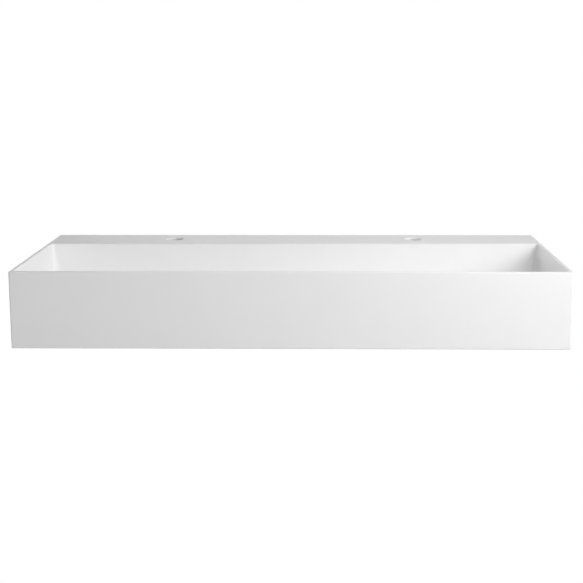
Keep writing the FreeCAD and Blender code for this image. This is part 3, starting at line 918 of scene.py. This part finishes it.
class WASHBASIN_OT_stone_casting(bpy.types.Operator):
    """Carve the basin from its block: bowl, fall of the floor, hollow underside and holes"""

    bl_idname = "washbasin.stone_casting"
    bl_label = "Stone casting"

    def execute(self, context):
        sizes = context.scene.washbasin_casting
        top = STONE_HIGH.z
        floor = top - sizes.bowl_depth - sizes.floor_fall
        stone = stone_block(sizes)
        carve(stone, bowl_tool(sizes))
        lip = reach_of(sizes.lip_radius, QUARTER_TURN + sizes.draft)
        round_edges(stone, lip, inner_edge(top, HALF * sizes.rim, -HALF * sizes.deck))
        cut_unpolished_and_shaded(stone, hollow_tool(sizes))
        cut_unpolished_and_shaded(stone, channel_tool(sizes))
        foot = inner_edge(STONE_LOW.z, HALF * sizes.skirt, -HALF * sizes.rear_wall)
        round_edges(stone, sizes.foot_edge, foot, FINE_STEPS)
        tap = 2 * TAP["dims"]["r_mm"] * MM
        for side in (-1, 1):
            x, y = side * TAP["pos_m"][0], TAP["pos_m"][1]
            ends = (x, y, top - sizes.deck_thickness - OVERRUN), (x, y, top + OVERRUN)
            # The tap holes' walls take the darker unpolished tone, partly as painted shade in the holes.
            cut_unpolished_and_shaded(stone, add_rod("tap_hole", tap, *ends, HOLE_STEPS))
            round_mouth(stone, (x, y, top), tap, sizes.tap_mouth, TAP_MOUTH_STEPS)
            x = side * BOLT["pos_m"][0]
            ends = (x, -sizes.rear_wall - OVERRUN, 0), (x, OVERRUN, 0)
            cut_unpolished_and_shaded(stone, add_rod("bolt_hole", sizes.bolt_hole, *ends, HOLE_STEPS // 2))
        low = floor - sizes.recess_depth
        carve(stone, axis_rod("recess", sizes.recess, low, floor + OVERRUN, RECESS_SIDES))
        round_mouth(stone, axis_at(floor), sizes.recess, sizes.recess_edge, RECESS_STEPS)
        low = floor - sizes.floor_thickness - OVERRUN
        carve(stone, axis_rod("waste_hole", sizes.waste_hole, low, floor, HOLE_STEPS))
        open_edit(stone)
        pick(stone, "faces", at_wall_or_base)
        unpolish_and_shade(stone)
        close_edit()
        finish_piece(stone, "cast_stone", "basin_casting")
        return {"FINISHED"}


# Waste, seals, plug and bushes; their outlines are (diameter, height, rounding) in millimetres


class WASHBASIN_OT_plug(bpy.types.Operator):
    """Turn the plug's stone cap, its plate and its seal"""

    bl_idname = "washbasin.plug"
    bl_label = "Plug"

    def execute(self, context):
        crown, sphere = -20.5, 363.75
        dome = [
            (2 * reach, crown - sphere + math.sqrt(sphere * sphere - reach * reach), 0)
            for reach in (28, 22, 16, 10, 5, 0)
        ]
        turn_pieces("plug", [
            ("stone_cap", "plug_cap", "cast_stone",
             [(0, -27, 0), (50.6, -27, 0.3), (50.6, -29.5, 0.4), (66, -29.5, 0.8), (66, -22, 2.5), *dome]),
            ("cap_plate", "plug_plate", "chromed_brass",
             [(0, -30.5, 0), (8.1, -30.5, 0), (8.1, -39.5, 0.3), (14, -39.5, 0.5), (14, -34.7, 0.5),
              (35.4, -34.7, 0.4), (35.4, -33.5, 0.3), (32, -33.5, 0.2), (32, -29.5, 0.2), (50, -29.5, 0.4),
              (50, -27, 0.3), (0, -27, 0)]),
            ("plug_ring", "plug_seal", "black_rubber",
             [(32.1, -33.5, 0.2), (40.8, -33.5, 0.5), (46.8, -30.5, 0.7), (32.1, -29.5, 0.2)]),
        ])
        return {"FINISHED"}


class WASHBASIN_OT_waste_body(bpy.types.Operator):
    """Make the waste body: flange, conical seat, outside thread and three-armed bridge"""

    bl_idname = "washbasin.waste_body"
    bl_label = "Waste body"

    def execute(self, context):
        sizes = context.scene.washbasin_waste
        thread = 2 * MOUNTS["waste_outlet"]["dims"]["r_mm"] * MM
        under = WASTE_HIGH.z - sizes.flange_thickness
        low, top, ledge = WASTE_LOW.z / MM, WASTE_HIGH.z / MM, under / MM
        bore, neck = sizes.bore / MM, (thread - 2 * sizes.thread_depth) / MM
        body = turn("flanged_waste", [
            (bore, low, 0.4), (neck, low, 0.4), (neck, ledge, 0.5), (64, ledge, 0.3), (64, top, 1.8),
            (bore + 13, top, 0.4), (bore, top - 6.5, 0.6),
        ])
        bridge_top = under - BRIDGE_DROP
        bridge_low = bridge_top - BRIDGE_DEPTH
        boss = axis_rod("bridge", BOSS, bridge_low, bridge_top, BOSS_SIDES)
        for part in (0, 1 / 3, 2 / 3):
            corners = (0, DRAIN.y - ARM_HALF, bridge_low), (ARM_REACH, DRAIN.y + ARM_HALF, bridge_top)
            arm = add_block("arm", *corners)
            open_edit(arm, "SELECT")
            bpy.ops.transform.rotate(value=-part * FULL_TURN, orient_axis="Z", center_override=axis_at(0))
            close_edit()
            weld(boss, arm)
        ends = bridge_low - OVERRUN, bridge_top + OVERRUN
        carve(boss, axis_rod("stem_hole", STEM_HOLE, *ends, BOSS_SIDES))
        weld(body, boss)
        finish_piece(body, "chromed_brass", "waste_body")
        sleeve = thread_sleeve(
            "waste_thread", thread, sizes.thread_depth, sizes.thread_pitch, WASTE_LOW.z, under - WASTE_GAP,
            WASTE_SLANT, sizes.thread_steps,
        )
        finish_piece(sleeve, "chromed_brass", "waste_body")
        return {"FINISHED"}


class WASHBASIN_OT_back_nut(bpy.types.Operator):
    """Make the flanged hexagon nut under the floor"""

    bl_idname = "washbasin.back_nut"
    bl_label = "Back nut"

    def execute(self, context):
        low, top = NUT_LOW.z / MM, NUT_HIGH.z / MM
        twelfth = FULL_TURN / 12
        corners = context.scene.washbasin_waste.nut_width / math.cos(twelfth)
        nut = axis_rod("hexagon_nut", corners, NUT_LOW.z, NUT_HIGH.z, 6, twelfth)
        round_edges(nut, NUT_EDGE, lambda a, b, faces: abs(a.z - b.z) > MM, FINE_STEPS)
        wide = corners / MM + 1
        slant = [(0, low, 0), (50, low, 0.4), (wide, low + 2.1, 0), (wide, top + 1, 0), (0, top + 1, 0)]
        boolean(nut, turn("slant", slant), "INTERSECT")
        weld(nut, turn("collar", [(0, top - 3, 0), (58, top - 3, 0.8), (58, top, 0.4), (0, top, 0)]))
        carve(nut, turn("hole", [
            (0, low - 5, 0), (43.4, low - 5, 0), (43.4, low, 0), (42.01, low + 0.7, 0),
            (42.01, top - 0.7, 0), (43.4, top, 0), (43.4, top + 5, 0), (0, top + 5, 0),
        ]))
        finish_piece(nut, "raw_brass", "back_nut")
        return {"FINISHED"}


class WASHBASIN_OT_gaskets(bpy.types.Operator):
    """Turn the gaskets above and under the floor, and the slip washer"""

    bl_idname = "washbasin.gaskets"
    bl_label = "Gaskets and washer"

    def execute(self, context):
        turn_pieces("basin", [
            ("upper_gasket", "flange_gasket", "black_rubber",
             [(46, -35, 0.3), (62, -35, 0.3), (62, -33.5, 0.3), (46, -33.5, 0.3)]),
            ("under_gasket", "floor_gasket", "black_rubber",
             [(42.01, -52, 0.4), (54, -52, 0.8), (60, -46, 0.7), (45.4, -46, 0.2), (43.7, -42, 0.3),
              (42.01, -42, 0.2)]),
            ("nylon_washer", "slip_washer", "white_nylon",
             [(42.01, -53.5, 0.3), (58, -53.5, 0.5), (58, -52, 0.5), (42.01, -52, 0.3)]),
        ])
        return {"FINISHED"}


class WASHBASIN_OT_cartridge(bpy.types.Operator):
    """Make the cartridge's threaded barrel"""

    bl_idname = "washbasin.cartridge"
    bl_label = "Cartridge barrel"

    def execute(self, context):
        sizes = context.scene.washbasin_waste
        low, top = BARREL_LOW.z / MM, BARREL_HIGH.z / MM
        shoulder, floor, groove = top - 14, low + 2, top - 1.7
        core = (sizes.stem - 2 * sizes.stem_depth) / MM
        barrel = turn("guide_barrel", [
            (2, low, 0), (core, low, 0.4), (core, shoulder, 0.2), (15, shoulder, 0.3), (15, top, 0.8),
            (9.2, top, 0.3), (9.2, groove + 1, 0), (10.6, groove + 1, 0), (10.6, groove, 0),
            (9.2, groove, 0), (9.2, floor, 0), (2, floor, 0),
        ])
        middle = HALF * (PIN_LOW + PIN_HIGH)
        ends = [(x, middle.y, middle.z) for x in PIN_HOLE_ENDS]
        carve(barrel, add_rod("pin_hole", PIN_HOLE, *ends, PIN_SIDES))
        finish_piece(barrel, "raw_brass", "cartridge_barrel")
        sleeve = thread_sleeve(
            "stem_thread", sizes.stem, sizes.stem_depth, sizes.stem_pitch, BARREL_LOW.z,
            shoulder * MM - STEM_GAP, STEM_SLANT, sizes.stem_steps,
        )
        finish_piece(sleeve, "raw_brass", "cartridge_barrel")
        return {"FINISHED"}


class WASHBASIN_OT_wall_bushes(bpy.types.Operator):
    """Turn one flanged wall-bolt bush, stand it in its hole and copy it to the other hole"""

    bl_idname = "washbasin.wall_bushes"
    bl_label = "Wall-bolt bushes"

    def execute(self, context):
        bush = turn("bolt_bushes", [
            (10.5, 0, 0.5), (13.9, 0, 0.6), (13.9, 18, 0), (24, 18, 0.4), (24, 21, 1), (10.5, 21, 0.7),
        ])
        spacing = 2 * BOLT["pos_m"][0]
        open_edit(bush, "SELECT")
        bpy.ops.transform.translate(value=(-HALF * spacing, -DRAIN.y, 0))
        close_edit()
        make_active(bush)
        bush.rotation_euler = (QUARTER_TURN, 0, 0)
        settle()
        bpy.ops.object.duplicate(linked=False)
        bpy.ops.transform.translate(value=(spacing, 0, 0))
        settle()
        unite([bush, bpy.context.object])
        finish_piece(bush, "white_nylon", "wall_bolt_bushes")
        return {"FINISHED"}


class WASHBASIN_OT_small_parts(bpy.types.Operator):
    """Finish the small parts whose solids stay as they are: plunger, spring, clip and pin"""

    bl_idname = "washbasin.small_parts"
    bl_label = "Small parts"

    def execute(self, context):
        finishes = {
            "cartridge_plunger": "brass_finish",
            "cartridge_spring": "steel_finish",
            "cartridge_clip": "steel_finish",
            "latch_pin": "steel_finish",
        }
        for node, kind in finishes.items():
            for slot in frame["nodes"][node].material_slots:
                slot.material = finish_of(kind)
        return {"FINISHED"}


# Stage


def add_softbox(name, azimuth, elevation, side, distance, watts):
    """Square soft light that faces the middle of the basin."""
    aim = Vector((0, HALF * STONE_LOW.y, 0))
    around, rise = math.radians(azimuth), math.radians(elevation)
    level = math.cos(rise)
    away = Vector((level * math.cos(around), -level * math.sin(around), math.sin(rise)))
    facing = away.to_track_quat("Z", "Y").to_euler()
    bpy.ops.object.light_add(type="AREA", location=aim + distance * away, rotation=facing)
    light = named(name).data
    light.shape, light.size, light.energy = "SQUARE", side, watts


def seen_white(lit, place):
    """Mix Shader that shows plain white to the camera and leaves the lighting to another shader."""
    tree = lit.id_data
    x, y = place
    path = add_node(tree, "LightPath", (x - 250, y + 350))
    white = add_node(tree, "Emission", (x - 250, y - 200), {"Color": WHITE, "Strength": 1.0})
    mix = add_node(tree, "MixShader", place)
    join(path, "Is Camera Ray", mix, 0)
    join(lit, 0, mix, 1)
    join(white, 0, mix, 2)
    return mix


class WASHBASIN_OT_stage(bpy.types.Operator):
    """Set the pale floor, the white surround, the soft lights and the camera"""

    bl_idname = "washbasin.stage"
    bl_label = "Stage"

    def execute(self, context):
        stage = context.scene.washbasin_stage
        low = STONE_HIGH.z - stage.floor_drop
        bpy.ops.mesh.primitive_plane_add(size=stage.floor_size, location=(0, 0, low))
        floor = named("floor")
        material = bpy.data.materials.new("pale_floor")
        material.use_nodes = True
        tree = material.node_tree
        shader = tree.nodes["Principled BSDF"]
        pale = (*stage.floor_tone, 1)
        set_inputs(shader, {"Base Color": pale, "Roughness": 0.9, "Specular IOR Level": 0.0})
        join(seen_white(shader, (350, 100)), "Shader", tree.nodes["Material Output"], "Surface")
        floor.data.materials.append(material)
        for name, place in LIGHTS.items():
            add_softbox(name, *place, getattr(stage, name))
        world = bpy.data.worlds.new("surround")
        context.scene.world = world
        world.use_nodes = True
        tree = world.node_tree
        even = tree.nodes["Background"]
        set_inputs(even, {"Color": WHITE, "Strength": stage.sky})
        join(seen_white(even, (200, 100)), "Shader", tree.nodes["World Output"], "Surface")
        view = context.scene.view_settings
        view.view_transform, view.look, view.exposure, view.gamma = "Standard", "None", 0.0, 1.0
        turned = (
            Matrix.Rotation(stage.camera_yaw, 4, "Z")
            @ Matrix.Rotation(QUARTER_TURN - stage.camera_pitch, 4, "X")
            @ Matrix.Rotation(stage.camera_roll, 4, "Z")
        )
        bpy.ops.object.camera_add(location=stage.camera_place, rotation=turned.to_euler())
        camera = bpy.context.object
        camera.data.sensor_width, camera.data.lens = SENSOR_WIDTH, stage.focal_length
        context.scene.camera = camera
        return {"FINISHED"}


OPERATORS = [
    WASHBASIN_OT_stone_casting,
    WASHBASIN_OT_plug,
    WASHBASIN_OT_waste_body,
    WASHBASIN_OT_back_nut,
    WASHBASIN_OT_gaskets,
    WASHBASIN_OT_cartridge,
    WASHBASIN_OT_wall_bushes,
    WASHBASIN_OT_small_parts,
    WASHBASIN_OT_stage,
]
SETTINGS = {
    "washbasin_casting": CastingSizes,
    "washbasin_waste": WasteSizes,
    "washbasin_finishes": Finishes,
    "washbasin_stage": StageSettings,
}


class WASHBASIN_PT_panel(bpy.types.Panel):
    """Sidebar panel that lists the sizes and the operators"""

    bl_idname = "WASHBASIN_PT_panel"
    bl_label = "Washbasin"
    bl_space_type = "VIEW_3D"
    bl_region_type = "UI"
    bl_category = "Washbasin"

    def draw(self, context):
        for operator in OPERATORS:
            self.layout.operator(operator.bl_idname)
        for name, kind in SETTINGS.items():
            column = self.layout.column()
            for key in kind.__annotations__:
                column.prop(getattr(context.scene, name), key)


def register():
    for kind in [*SETTINGS.values(), *OPERATORS, WASHBASIN_PT_panel]:
        bpy.utils.register_class(kind)
    for name, kind in SETTINGS.items():
        setattr(bpy.types.Scene, name, PointerProperty(type=kind))


def unregister():
    for name in SETTINGS:
        delattr(bpy.types.Scene, name)
    for kind in [WASHBASIN_PT_panel, *reversed(OPERATORS), *reversed(SETTINGS.values())]:
        bpy.utils.unregister_class(kind)


def main():
    """Register the add-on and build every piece."""
    register()
    bpy.ops.washbasin.stone_casting()
    bpy.ops.washbasin.plug()
    bpy.ops.washbasin.waste_body()
    bpy.ops.washbasin.back_nut()
    bpy.ops.washbasin.gaskets()
    bpy.ops.washbasin.cartridge()
    bpy.ops.washbasin.wall_bushes()
    bpy.ops.washbasin.small_parts()
    bpy.ops.washbasin.stage()


if __name__ == "__main__":
    main()
